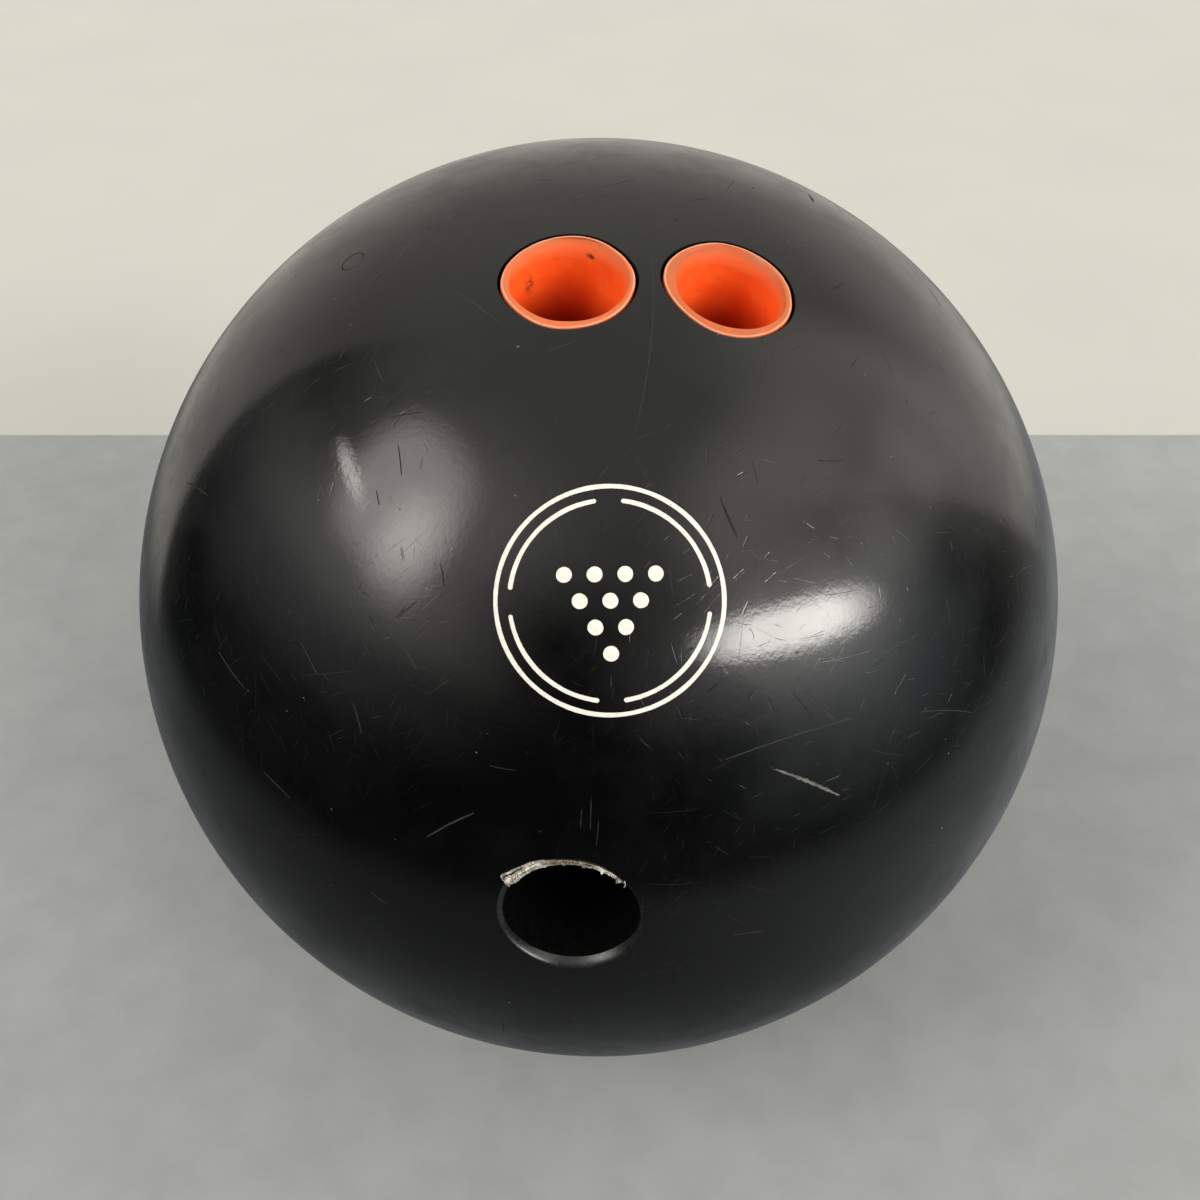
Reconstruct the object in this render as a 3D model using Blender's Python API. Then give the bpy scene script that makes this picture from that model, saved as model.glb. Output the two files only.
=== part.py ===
"""Ten-pin bowling ball, drilled for a fingertip grip, at rest with its grip facing forward and up.

Units are metres and degrees. The origin is the ball's centre, +Z is up and the front is -Y.
The ball is a thick cover cast around a lighter core, with a weight block under the locator pin.
The drilled holes go through the cover into the core, and one of them cuts the weight block's edge.
"""
import math

import bmesh
import bpy
from mathutils import Matrix, Vector

# The cast ball.
BALL_RADIUS = 0.1086
COVER_THICKNESS = 0.0254
CLEARANCE = 0.0003
OUTER_SUBDIVISIONS = 5
INNER_SUBDIVISIONS = 4

# Each feature is placed by its angle from the emblem's centre, and by its clock angle around it,
# clockwise from the top as seen from outside.
EMBLEM_ELEVATION = 40.0
LEFT_FINGER = (31.8, -6.2)
RIGHT_FINGER = (33.5, 22.1)
THUMB = (31.3, 187.6)
LOCATOR_PIN = (48.2, -35.9)

# The weight block, a domed pancake on the locator pin's axis.
BLOCK_RADIUS = 0.045
BLOCK_FLOOR = 0.054
BLOCK_DOME_GAP = 0.001
BLOCK_DOME_STEPS = 5
PIN_RADIUS = 0.00235
PIN_GAP = 0.00015

# The finger holes run side by side, and are a little wider than they are high.
FINGER_OVAL = 0.95
FINGER_HOLE_RADIUS = 0.01235
FINGER_HOLE_DEPTH = 0.040
INSERT_OUTER_RADIUS = 0.01195
INSERT_INNER_RADIUS = 0.0100
INSERT_LENGTH = 0.0318
INSERT_CHAMFER = 0.0008

# The thumb hole is round, with a hand-cut bevel that is wider at its top and bottom.
THUMB_RADIUS = 0.0122
THUMB_DEPTH = 0.070
THUMB_BEVEL_DEPTH = 0.0020
THUMB_BEVEL_WIDTHS = (0.0006, 0.0013)
DRILL_TIP_SLOPE = 0.3
DRILL_TIP_RADIUS = 0.001
CUTTER_REACH = 0.004

# Two strips of inch-wide tape line the finger side of the thumb hole.
TAPE_WIDTH = 0.0254
TAPE_THICKNESS = 0.00025
TAPE_BASE_RADIUS = 0.0120
TAPE_TOP_RADIUS = 0.01145
TAPE_BASE_SPAN = (0.0012, 0.046)
TAPE_TOP_SPAN = (0.0018, 0.038)

# The emblem: paint in shallow grooves, a full ring, a broken ring and ten dots set out like the pins.
PAINT_DEPTH = 0.0005
PAINT_RECESS = 0.00015
PAINT_GAP = 0.0001
LINE_WIDTH = 0.00076
RING_RADIUS = 0.0188
ARC_RADIUS = 0.0165
ARC_COUNT = 4
ARC_OPENING = 14.0
DOT_RADIUS = 0.0013
DOT_SPACING = 0.0050
DOT_ROWS = 4

# How finely the round pieces are divided.
RING_STEPS = 72
ARC_STEPS = 14
DOT_STEPS = 12
HOLE_STEPS = 36
BLOCK_STEPS = 48
PIN_STEPS = 16
TAPE_STEPS = 16


def emblem_axes():
    """The emblem's right, up and outward directions."""
    tilt = math.radians(EMBLEM_ELEVATION)
    outward = Vector((0.0, -math.cos(tilt), math.sin(tilt)))
    up = Vector((0.0, math.sin(tilt), math.cos(tilt)))
    return Vector((1.0, 0.0, 0.0)), up, outward


def direction(angles):
    """Unit vector from the ball's centre to a feature, from its angle and clock angle at the emblem."""
    polar, clock = (math.radians(a) for a in angles)
    right, up, outward = emblem_axes()
    sideways = right * math.sin(clock) + up * math.cos(clock)
    return outward * math.cos(polar) + sideways * math.sin(polar)


def frame_at(point, axis, up):
    """Matrix of a frame at point, with Z along axis and Y as near to up as it can be."""
    y = (up - axis * up.dot(axis)).normalized()
    columns = Matrix((y.cross(axis), y, axis)).transposed()
    return Matrix.Translation(point) @ columns.to_4x4()


def drill_frame(angles, axis=None):
    """Frame on the ball's surface at a feature, with Z out along the drill and Y towards the emblem."""
    normal = direction(angles)
    return frame_at(normal * BALL_RADIUS, axis or normal, emblem_axes()[2])


def height_on_ball(place, x, y, radius):
    """Height in a drill's frame at which the line through x, y leaves a ball of this radius."""
    start = place @ Vector((x, y, 0.0))
    axis = place.to_3x3() @ Vector((0.0, 0.0, 1.0))
    along = start.dot(axis)
    return math.sqrt(along * along - start.dot(start) + radius * radius) - along


def circle(radius, height, steps, oval=1.0):
    """Points of a level circle, or of an oval whose Y radius is oval times its X radius."""
    turns = (math.tau * i / steps for i in range(steps))
    return [Vector((radius * math.cos(t), oval * radius * math.sin(t), height)) for t in turns]


def loft(loops, closed=False):
    """One body through a list of equal loops: back to the first one if closed, and capped if not."""
    bm = bmesh.new()
    rings = [[bm.verts.new(point) for point in loop] for loop in loops]
    pairs = list(zip(rings, rings[1:]))
    if closed:
        pairs.append((rings[-1], rings[0]))
    else:
        bm.faces.new(rings[0])
        bm.faces.new(rings[-1])
    for low, high in pairs:
        for i in range(len(low)):
            j = (i + 1) % len(low)
            bm.faces.new((low[i], low[j], high[j], high[i]))
    bmesh.ops.recalc_face_normals(bm, faces=bm.faces)
    return bm


def swept_section(section, start, sweep, steps):
    """A section of (radius, height) points turned through an arc about Z, as one body."""
    closed = sweep == 360.0
    count = steps if closed else steps + 1
    turns = [math.radians(start + sweep * i / steps) for i in range(count)]
    loops = [[Vector((r * math.cos(t), r * math.sin(t), z)) for r, z in section] for t in turns]
    return loft(loops, closed)


def icosphere(radius, subdivisions):
    bm = bmesh.new()
    bmesh.ops.create_icosphere(bm, subdivisions=subdivisions, radius=radius)
    return bm


def add_object(name, bm, place, material=None):
    """Puts a bmesh in the scene as an object, shaded smooth, with its place as its transform."""
    mesh = bpy.data.meshes.new(name)
    bm.to_mesh(mesh)
    bm.free()
    mesh.shade_smooth()
    mesh.set_sharp_from_angle(angle=math.radians(30.0))
    if material:
        mesh.materials.append(material)
    item = bpy.data.objects.new(name, mesh)
    item.matrix_world = place
    bpy.context.scene.collection.objects.link(item)
    return item


def add_cutter(name, bm, place):
    cutter = add_object(name, bm, place)
    cutter.hide_render = True
    cutter.display_type = 'WIRE'
    return cutter


def cut(item, cutters):
    """Takes each cutter out of the item."""
    for cutter in cutters:
        boolean = item.modifiers.new("cut_" + cutter.name, 'BOOLEAN')
        boolean.operation = 'DIFFERENCE'
        boolean.solver = 'EXACT'
        boolean.object = cutter


def add_material(name, color, roughness, metallic=0.0):
    material = bpy.data.materials.new(name)
    material.use_nodes = True
    material.diffuse_color = (*color, 1.0)
    shader = material.node_tree.nodes["Principled BSDF"]
    shader.inputs["Base Color"].default_value = (*color, 1.0)
    shader.inputs["Roughness"].default_value = roughness
    shader.inputs["Metallic"].default_value = metallic
    return material


def tip_loops(radius, depth, steps, oval=1.0):
    """The two lowest loops of a drilled hole: its blunt tip, and the edge of its cone."""
    tip = depth + DRILL_TIP_SLOPE * (radius - DRILL_TIP_RADIUS)
    return [circle(DRILL_TIP_RADIUS, -tip, steps, oval), circle(radius, -depth, steps, oval)]


def finger_drill(name, place):
    loops = tip_loops(FINGER_HOLE_RADIUS, FINGER_HOLE_DEPTH, HOLE_STEPS, FINGER_OVAL)
    loops.append(circle(FINGER_HOLE_RADIUS, CUTTER_REACH, HOLE_STEPS, FINGER_OVAL))
    return add_cutter(name, loft(loops), place)


def thumb_drill(name, place):
    """The thumb hole's cutter: a round bore, then a flare that follows the ball's surface."""
    loops = tip_loops(THUMB_RADIUS, THUMB_DEPTH, HOLE_STEPS)
    for share in (0.0, 1.0, 2.0):
        loop = []
        for point in circle(1.0, 0.0, HOLE_STEPS):
            x = point.x * (THUMB_RADIUS + share * THUMB_BEVEL_WIDTHS[0])
            y = point.y * (THUMB_RADIUS + share * THUMB_BEVEL_WIDTHS[1])
            surface = height_on_ball(place, x, y, BALL_RADIUS)
            loop.append(Vector((x, y, surface + (share - 1.0) * THUMB_BEVEL_DEPTH)))
        loops.append(loop)
    return add_cutter(name, loft(loops), place)


def finger_insert(name, place, material):
    """A soft tube in a finger hole, its lip cut to follow the ball's surface."""
    lip_radius = BALL_RADIUS - CLEARANCE
    loops = []
    for unit in circle(1.0, 0.0, HOLE_STEPS, FINGER_OVAL):
        outer = unit * INSERT_OUTER_RADIUS
        chamfer = unit * (INSERT_INNER_RADIUS + INSERT_CHAMFER)
        inner = unit * INSERT_INNER_RADIUS
        bottom = Vector((0.0, 0.0, -INSERT_LENGTH))
        outer_lip = Vector((0.0, 0.0, height_on_ball(place, outer.x, outer.y, lip_radius)))
        inner_lip = Vector((0.0, 0.0, height_on_ball(place, chamfer.x, chamfer.y, lip_radius)))
        below_lip = inner_lip - Vector((0.0, 0.0, INSERT_CHAMFER))
        section = [outer + bottom, outer + outer_lip, chamfer + inner_lip, inner + below_lip]
        loops.append(section + [inner + bottom])
    return add_object(name, loft(loops, closed=True), place, material)


def thumb_tape(name, place, outer_radius, span, material):
    """A strip of tape bent to the thumb hole's wall, on the side towards the fingers."""
    half_turn = 0.5 * TAPE_WIDTH / THUMB_RADIUS
    loops = []
    for i in range(TAPE_STEPS + 1):
        turn = math.radians(90.0) + half_turn * (2.0 * i / TAPE_STEPS - 1.0)
        outer = Vector((math.cos(turn), math.sin(turn), 0.0)) * outer_radius
        inner = outer * (1.0 - TAPE_THICKNESS / outer_radius)
        edge = height_on_ball(place, outer.x, outer.y, BALL_RADIUS)
        top = Vector((0.0, 0.0, edge - span[0]))
        bottom = Vector((0.0, 0.0, -span[1]))
        loops.append([outer + bottom, outer + top, inner + top, inner + bottom])
    return add_object(name, loft(loops), place, material)


def groove_section(radius, half_width, top, floor):
    """A line's section about the emblem's axis: flat sides, with top and floor that follow the ball."""
    points = []
    for r, below in ((radius - half_width, floor), (radius + half_width, floor)):
        points.append((r, math.sqrt(BALL_RADIUS ** 2 - r * r) - below))
    for r, below in ((radius + half_width, top), (radius - half_width, top)):
        points.append((r, math.sqrt(BALL_RADIUS ** 2 - r * r) - below))
    return points


def emblem_lines():
    """Name, radius, start and sweep of each painted line."""
    lines = [("emblem_ring", RING_RADIUS, 0.0, 360.0)]
    quarter = 360.0 / ARC_COUNT
    for i in range(ARC_COUNT):
        start = i * quarter + 0.5 * ARC_OPENING
        lines.append((f"emblem_arc_{i + 1}", ARC_RADIUS, start, quarter - ARC_OPENING))
    return lines


def emblem_dots():
    """Places of the ten dots, in rows of one to four, with their middle on the emblem's centre."""
    row_height = DOT_SPACING * math.sqrt(3.0) / 2.0
    places = []
    for row in range(DOT_ROWS):
        for i in range(row + 1):
            x = (i - 0.5 * row) * DOT_SPACING
            y = (row - 2.0) * row_height
            places.append((x, y))
    return places


def line_body(radius, start, sweep, extra, top, floor):
    """A painted line, or its groove when extra is the paint's gap."""
    steps = RING_STEPS if sweep == 360.0 else ARC_STEPS
    section = groove_section(radius, 0.5 * LINE_WIDTH + extra, top, floor)
    widen = 0.0 if sweep == 360.0 else math.degrees(extra / radius)
    return swept_section(section, start - widen, sweep + 2.0 * widen, steps)


def dot_place(x, y):
    """Frame on the ball's surface over a point of the emblem's plane, with Z outward."""
    right, up, outward = emblem_axes()
    depth = math.sqrt(BALL_RADIUS ** 2 - x * x - y * y)
    point = right * x + up * y + outward * depth
    return frame_at(point, point.normalized(), up)


def dot_body(radius, top, floor):
    return loft([circle(radius, -floor, DOT_STEPS), circle(radius, -top, DOT_STEPS)])


def add_emblem(cover, paint):
    """Paint in grooves: cuts each groove in the cover, and puts its own piece of paint in it."""
    centre = frame_at(Vector(), emblem_axes()[2], emblem_axes()[1])
    groove_floor = PAINT_DEPTH + PAINT_RECESS + PAINT_GAP
    paint_floor = PAINT_DEPTH + PAINT_RECESS
    grooves = []
    for name, radius, start, sweep in emblem_lines():
        body = line_body(radius, start, sweep, 0.0, PAINT_RECESS, paint_floor)
        add_object(name, body, centre, paint)
        groove = line_body(radius, start, sweep, PAINT_GAP, -CUTTER_REACH, groove_floor)
        grooves.append(add_cutter(name + "_groove", groove, centre))
    for i, (x, y) in enumerate(emblem_dots()):
        name = f"emblem_dot_{i + 1}"
        place = dot_place(x, y)
        add_object(name, dot_body(DOT_RADIUS, PAINT_RECESS, paint_floor), place, paint)
        groove = dot_body(DOT_RADIUS + PAINT_GAP, -CUTTER_REACH, groove_floor)
        grooves.append(add_cutter(name + "_groove", groove, place))
    cut(cover, grooves)


def add_weight_block(place, drills, material):
    """The domed pancake under the cover, notched where a finger hole meets it."""
    dome = BALL_RADIUS - COVER_THICKNESS - CLEARANCE - BLOCK_DOME_GAP
    loops = [circle(BLOCK_RADIUS, BLOCK_FLOOR, BLOCK_STEPS)]
    for i in range(BLOCK_DOME_STEPS):
        radius = BLOCK_RADIUS * math.cos(math.radians(90.0 * i / BLOCK_DOME_STEPS))
        loops.append(circle(radius, math.sqrt(dome * dome - radius * radius), BLOCK_STEPS))
    block = add_object("weight_block", loft(loops), place, material)
    cut(block, drills)


def add_core(place, drills, material):
    """The filler under the cover, with the weight block's pocket and the ends of the drilled holes."""
    radius = BALL_RADIUS - COVER_THICKNESS - CLEARANCE
    pocket_radius = BLOCK_RADIUS + CLEARANCE
    pocket_floor = BLOCK_FLOOR - CLEARANCE
    loops = [circle(pocket_radius, height, BLOCK_STEPS) for height in (pocket_floor, BALL_RADIUS)]
    pocket = add_cutter("weight_block_pocket", loft(loops), place)
    core = add_object("inner_core", icosphere(radius, INNER_SUBDIVISIONS), Matrix(), material)
    cut(core, [pocket] + drills)


def add_locator_pin(place, cover, material):
    """The pin that stands on the weight block and shows as a small disc in the cover."""
    dome = BALL_RADIUS - COVER_THICKNESS - CLEARANCE - BLOCK_DOME_GAP
    foot = dome + CLEARANCE
    head = BALL_RADIUS - PAINT_RECESS
    body = loft([circle(PIN_RADIUS, height, PIN_STEPS) for height in (foot, head)])
    add_object("locator_pin", body, place, material)
    hole_radius = PIN_RADIUS + PIN_GAP
    ends = (foot - COVER_THICKNESS, BALL_RADIUS + CUTTER_REACH)
    hole = loft([circle(hole_radius, height, PIN_STEPS) for height in ends])
    cut(cover, [add_cutter("locator_pin_hole", hole, place)])


def build():
    for item in list(bpy.data.objects):
        bpy.data.objects.remove(item, do_unlink=True)

    black = add_material("black_cover", (0.010, 0.010, 0.011), 0.12)
    filler = add_material("core_filler", (0.35, 0.33, 0.29), 0.7)
    dense = add_material("weight_block_resin", (0.30, 0.10, 0.06), 0.6)
    pin_black = add_material("pin_resin", (0.014, 0.014, 0.016), 0.2)
    orange = add_material("insert_rubber", (0.82, 0.15, 0.03), 0.55)
    cloth = add_material("tape", (0.58, 0.53, 0.45), 0.8)
    white = add_material("emblem_paint", (0.80, 0.80, 0.77), 0.5)

    fingers_axis = (direction(LEFT_FINGER) + direction(RIGHT_FINGER)).normalized()
    left = drill_frame(LEFT_FINGER, fingers_axis)
    right = drill_frame(RIGHT_FINGER, fingers_axis)
    thumb = drill_frame(THUMB)
    drills = [
        finger_drill("left_finger_drill", left),
        finger_drill("right_finger_drill", right),
        thumb_drill("thumb_drill", thumb),
    ]

    cover = add_object("cover_shell", icosphere(BALL_RADIUS, OUTER_SUBDIVISIONS), Matrix(), black)
    cavity = icosphere(BALL_RADIUS - COVER_THICKNESS, INNER_SUBDIVISIONS)
    cut(cover, [add_cutter("cover_cavity", cavity, Matrix())] + drills)

    pin_place = frame_at(Vector(), direction(LOCATOR_PIN), emblem_axes()[2])
    add_locator_pin(pin_place, cover, pin_black)
    add_core(pin_place, drills, filler)
    add_weight_block(pin_place, drills[:2], dense)

    finger_insert("finger_insert_left", left, orange)
    finger_insert("finger_insert_right", right, orange)
    thumb_tape("thumb_tape_base", thumb, TAPE_BASE_RADIUS, TAPE_BASE_SPAN, cloth)
    thumb_tape("thumb_tape_top", thumb, TAPE_TOP_RADIUS, TAPE_TOP_SPAN, cloth)
    add_emblem(cover, white)


build()
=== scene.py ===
"""The looks of a used ten-pin bowling ball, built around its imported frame.

Units are metres and degrees in the ball's own frame: the origin is its centre, +Z is up, the front is -Y.
A feature is placed by its angle from the emblem's centre and by its clock angle around the emblem,
clockwise from the top as seen from outside.
"""

import math
import random

import bmesh
import bpy
from mathutils import Matrix, Vector

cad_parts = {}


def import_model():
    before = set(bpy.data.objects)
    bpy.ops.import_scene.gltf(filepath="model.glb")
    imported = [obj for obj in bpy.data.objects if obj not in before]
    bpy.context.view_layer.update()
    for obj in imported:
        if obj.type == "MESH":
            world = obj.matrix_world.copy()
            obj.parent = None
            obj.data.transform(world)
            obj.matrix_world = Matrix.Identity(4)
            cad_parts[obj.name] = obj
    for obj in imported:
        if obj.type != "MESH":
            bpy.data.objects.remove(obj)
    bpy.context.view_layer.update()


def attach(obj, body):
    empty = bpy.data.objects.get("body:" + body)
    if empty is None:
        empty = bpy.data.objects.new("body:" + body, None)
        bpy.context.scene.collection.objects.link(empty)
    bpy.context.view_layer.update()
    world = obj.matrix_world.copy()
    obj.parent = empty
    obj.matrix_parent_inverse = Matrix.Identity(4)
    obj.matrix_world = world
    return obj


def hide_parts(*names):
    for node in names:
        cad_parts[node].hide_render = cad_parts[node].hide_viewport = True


BODY = "root"
MM = 0.001

# The ball, as its CAD source has it.
BALL_RADIUS = 0.1086
COVER_THICKNESS = 0.0254
EMBLEM_ELEVATION = 40.0
LEFT_FINGER = (31.8, -6.2)
RIGHT_FINGER = (33.5, 22.1)
THUMB = (31.3, 187.6)
LOCATOR_PIN = (48.2, -35.9)
FINGER_DEPTH = 0.040
THUMB_DEPTH = 0.070
INSERT_LENGTH = 0.0318
PAINT_DEPTH = 0.0005
LINE_WIDTH = 0.00076
RING_RADIUS = 0.0188
ARC_RADIUS = 0.0165
ARC_COUNT = 4
ARC_OPENING = 14.0
DOT_RADIUS = 0.0013
DOT_SPACING = 0.0050
DOT_ROWS = 4
PIN_RADIUS = 0.00235
TAPE_BASE_DEPTH = 0.046
TAPE_TOP_DEPTH = 0.038
TAPE_THICKNESS = 0.2 * MM

# The cover.
COVER_SUBDIVISIONS = 7
CAVITY_SUBDIVISIONS = 5
CUTTER_REACH = 0.004
LIP_ROUNDING = 0.00015
LIP_SINK = 0.0001
LIP_STEPS = 6
HOLE_STEPS = 160
DRILL_TIP_SLOPE = 0.3
DRILL_TIP_RADIUS = 0.001
LIP_BEND = 80.0
BEVEL_STEPS = 10
THUMB_CUTTER_FLARE = 1.012
BEVEL_UNEVENNESS = 0.10
PIN_GAP = 0.15 * MM
PIN_STEPS = 48
PIN_DROP = 0.03 * MM
PIN_EDGE_DROP = 0.09 * MM
PIECE_SHARP_ANGLE = 35.0
SURFACE_TOLERANCE = 0.02 * MM
KEPT_SHARE = 0.9

# Outlines: X radius, Y radius, and how far the outline stands out at each eighth of a turn from X.
LEFT_CUT = (0.99, 0.955, 1.005, 1.02, 1.0, 0.955, 0.985, 0.975)
RIGHT_CUT = (1.0, 0.97, 1.005, 0.985, 0.985, 1.015, 1.01, 0.97)
LEFT_BORE = (0.0103, 0.0096, (0.985, 0.965, 1.01, 1.03, 1.01, 0.95, 1.0, 0.96))
RIGHT_BORE = (0.0098, 0.0094, (0.96, 1.0, 1.0, 1.0, 0.99, 1.0, 1.0, 0.965))
FINGER_HOLE_RADII = (0.01245, 0.01165)
INSERT_RADII = (0.01195, 0.01145)
THUMB_HOLE = (0.0122, 0.0122, (1.0,))

# In millimetres: how far each insert's lip flares and the thumb hole's bevel at each eighth of a turn,
# and how worn the inserts are.
LEFT_FLARE = (0.35, 0.20, 0.15, 0.25, 0.50, 1.10, 1.50, 1.00)
RIGHT_FLARE = (0.30, 0.15, 0.10, 0.30, 0.90, 1.40, 1.60, 1.10)
LIP_FRAY = 0.05
LIP_UNEVENNESS = 0.03
BORE_UNEVENNESS = 0.10
BEVEL_WIDTH = (0.35, 0.50, 1.10, 1.60, 1.00, 0.85, 1.55, 1.35)
BEVEL_DEPTH = (0.60, 0.50, 0.60, 0.80, 0.85, 1.45, 1.60, 1.55)
BEVEL_CURVE = 1.6
SHARP_ANGLE = 14.5

# The tape: sections along a strip, rows over the bevel, each layer's gap, span, cover and seed, and the
# clump of fibres near one end.
TAPE_STEPS = 260
TAPE_ROWS = 6
TAPE_BASE = (0.04 * MM, (46.0, 152.0), 0.92, 31)
TAPE_TOP = (0.30 * MM, (50.0, 148.0), 0.40, 32)
CLUMP_PLACE = 0.97
CLUMP_WIDTH = 0.045
THREAD_STEPS = 6
THREAD_SIDES = 8

# Loose threads at the tape's edge: thickness, then (turn, radius, height over the ball) points, in
# degrees and millimetres.
LOOSE_THREADS = (
    (0.22, ((150.0, 14.9, 0.2), (143.0, 14.4, 0.35), (132.0, 14.0, 0.25), (121.0, 13.7, 0.1),
            (114.0, 13.4, 0.0))),
    (0.24, ((154.0, 12.9, 0.0), (147.0, 13.3, 0.35), (137.0, 13.2, 0.3), (127.0, 13.2, 0.2),
            (118.0, 13.3, 0.1))),
    (0.42, ((150.0, 14.7, 0.1), (151.0, 14.0, 0.25), (152.5, 13.3, 0.15), (155.0, 12.6, -0.2))),
    (0.17, ((49.0, 12.7, 0.0), (46.5, 12.5, 0.1), (44.5, 12.1, 0.0), (43.0, 11.6, -0.3))),
    (0.15, ((76.0, 12.7, 0.0), (79.0, 12.3, 0.15), (83.0, 12.15, 0.1), (86.0, 12.5, 0.0))),
)

# The emblem's paint.
PAINT_RECESS = 0.00004
PAINT_GAP = 0.00002
RING_STEPS = 540
ARC_STEPS = 110
DOT_STEPS = 40
PAINT_UNEVENNESS = 0.000035
PAINT_CROWN = 0.02 * MM

# Camera: where it stands, and which way it faces.
CAMERA_PLACE = (-0.00526, -0.2320, 0.1967)
CAMERA_AZIMUTH = -1.375
CAMERA_ELEVATION = 40.405
CAMERA_LENS = 36.06

# The stage: the mat's and the floor's low and high corners and thickness.
FLOOR_HEIGHT = -BALL_RADIUS
FLOOR_DROP = 0.0016
MAT_BOX = ((-0.29, -0.47), (0.29, 0.2455), 0.0015)
FLOOR_BOX = ((-6.0, -6.0), (6.0, 6.0), 0.01)

# Layers of fine hairlines on the cover: cells to the metre, length and width in millimetres, the share
# of cells that have one, and an offset that sets each layer's pattern.
HAIRLINES = (
    (70.0, 14.0, 0.06, 0.6, 0.31),
    (150.0, 7.0, 0.05, 0.45, 0.83),
    (150.0, 6.0, 0.05, 0.45, 1.57),
    (320.0, 3.0, 0.05, 0.45, 2.21),
)

WARM = (1.0, 0.965, 0.90)
COOL = (0.88, 0.97, 1.0)
NEUTRAL = (1.0, 1.0, 1.0)
PALE_BLUE = (0.955, 0.985, 1.0)
PALE_WARM = (1.0, 0.975, 0.925)

# The cover's materials in the order of its slots, and the slots of the faces that cutters leave.
COVER_SLOTS = ("cover", "bore", "light_mark", "dark_mark", "bevel", "faint_mark")
BORE = 1
LIGHT = 2
DARK = 3
BEVEL = 4
FAINT = 5

# Wear on the cover: (start, end, width, depth, bow, slot), with each end an angle and a clock angle,
# and lengths in millimetres. The bow is how far the middle stands off a straight line.
KNOWN_MARKS = (
    ((21.6, 136.5), (29.4, 131.0), 0.55, 0.14, 0.3, LIGHT),
    ((13.4, 47.0), (12.5, 65.5), 0.42, 0.10, -0.2, DARK),
    ((35.0, 8.1), (15.2, 9.7), 0.10, 0.03, 1.2, FAINT),
    ((17.6, 145.5), (25.2, 117.0), 0.13, 0.03, 0.6, FAINT),
    ((18.4, 117.5), (22.2, 121.5), 0.22, 0.05, 0.1, DARK),
    ((19.3, 115.8), (23.8, 118.8), 0.24, 0.05, 0.1, FAINT),
    ((28.7, -141.5), (23.0, -147.0), 0.20, 0.04, 0.3, FAINT),
    ((34.3, -25.5), (28.2, -20.5), 0.20, 0.04, 0.3, FAINT),
    ((61.5, 27.6), (58.0, 28.8), 0.50, 0.10, 0.2, DARK),
    ((59.2, 47.0), (57.6, 50.0), 0.35, 0.08, 0.1, DARK),
    ((24.3, -52.5), (22.0, -58.5), 0.13, 0.03, 0.1, DARK),
    ((23.8, -63.5), (22.7, -67.0), 0.12, 0.03, 0.0, DARK),
    ((51.5, -73.5), (45.5, -74.5), 0.20, 0.04, 0.2, DARK),
    ((45.4, 166.5), (44.1, 162.0), 0.30, 0.07, 0.1, DARK),
    ((33.0, 110.6), (41.5, 108.0), 0.07, 0.02, 0.5, FAINT),
    ((18.4, -171.6), (21.3, -172.1), 0.03, 0.01, -0.1, FAINT),
    ((17.0, -173.7), (21.9, -174.5), 0.03, 0.01, 0.0, FAINT),
    ((19.6, -176.3), (23.1, -176.0), 0.03, 0.01, 0.1, FAINT),
    ((19.2, -99.9), (18.3, -109.6), 0.10, 0.02, 0.1, FAINT),
    ((29.9, -96.5), (28.6, -103.8), 0.10, 0.02, 0.1, FAINT),
    ((25.7, -110.4), (26.4, -118.0), 0.09, 0.02, 0.1, FAINT),
    ((41.8, -96.5), (38.4, -103.2), 0.11, 0.02, -0.2, FAINT),
    ((40.6, -115.4), (38.7, -121.6), 0.10, 0.02, 0.1, FAINT),
    ((19.4, -94.5), (17.0, -89.0), 0.20, 0.04, 0.1, FAINT),
    ((15.4, -76.0), (14.6, -85.5), 0.09, 0.02, 0.1, DARK),
)

# Other marks, all over: how many, their range of lengths and of widths, their depth, and their slots.
RANDOM_MARKS = (
    (260, (1.2, 6.0), (0.06, 0.11), 0.02, (FAINT, DARK)),
    (200, (0.2, 0.5), (0.16, 0.30), 0.06, (LIGHT, FAINT, DARK)),
)

# How marks are placed: the gap between two, the distance beyond which they aren't compared, their largest
# bow as a share of their half length, and the features that they keep clear of.
MARK_SEEDS = (11, 12)
MARK_POINT_SPACING = 0.8 * MM
MARK_GAP = 1.8 * MM
MARK_NEIGHBOURHOOD = 45.0 * MM
MARK_BOW = 0.08
KEEP_CLEAR = (
    (LEFT_FINGER, 14.0 * MM), (RIGHT_FINGER, 14.0 * MM), (THUMB, 15.0 * MM), (LOCATOR_PIN, 4.0 * MM),
    ((0.0, 0.0), 20.5 * MM),
)

# The blades that cut the marks: how far they stand over the ball along a mark and at its ends, and how
# ragged a wide and a narrow one are.
BLADE_TOP = 0.08 * MM
BLADE_END = 0.02 * MM
BLADE_STEP = 0.5 * MM
WIDE_MARK = 0.2 * MM
WIDE_RAGGED = 0.35
NARROW_RAGGED = 0.15


def main():
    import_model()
    materials = make_materials()
    add_cover(materials)
    add_inserts(materials)
    add_tapes(materials)
    add_emblem(materials)
    add_pin(materials)
    finish_inner_nodes(materials)
    add_stage(materials)
    add_light()
    add_camera()


# ---- Directions and places ----


EMBLEM_TILT = math.radians(EMBLEM_ELEVATION)
RIGHT = Vector((1.0, 0.0, 0.0))
UP = Vector((0.0, math.sin(EMBLEM_TILT), math.cos(EMBLEM_TILT)))
OUTWARD = Vector((0.0, -math.cos(EMBLEM_TILT), math.sin(EMBLEM_TILT)))


def direction(angles):
    """Unit vector from the ball's centre to a feature, from its angle and clock angle at the emblem."""
    polar, clock = (math.radians(a) for a in angles)
    sideways = RIGHT * math.sin(clock) + UP * math.cos(clock)
    return OUTWARD * math.cos(polar) + sideways * math.sin(polar)


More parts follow.
